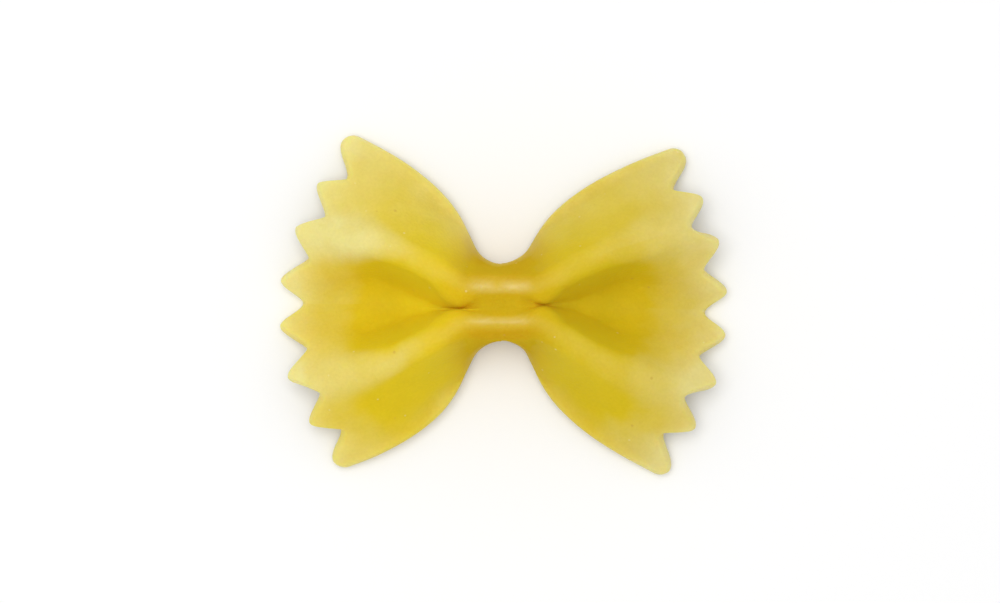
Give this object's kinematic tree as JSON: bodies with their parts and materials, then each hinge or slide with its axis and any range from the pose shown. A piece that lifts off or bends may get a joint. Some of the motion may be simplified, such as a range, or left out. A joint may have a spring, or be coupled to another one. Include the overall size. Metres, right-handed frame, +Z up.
{
  "type": "farfalle pasta",
  "caption": "Dry bow-tie pasta: a toothed rectangle of rolled dough pinched across the middle into pleats, with flared wings.",
  "frame": {"origin": "centre of the footprint's box, on the surface the piece lies on", "axes": "+X along the length through the pinch, +Y across the wings, +Z up from the surface it lies on"},
  "size_m": [0.04, 0.0304, 0.0091],
  "materials": {
    "pasta": "dry egg-yellow durum dough, satin and slightly translucent, paler where it is thin"
  },
  "bodies": {
    "root": {"farfalla": "pasta"}
  },
  "joints": []
}
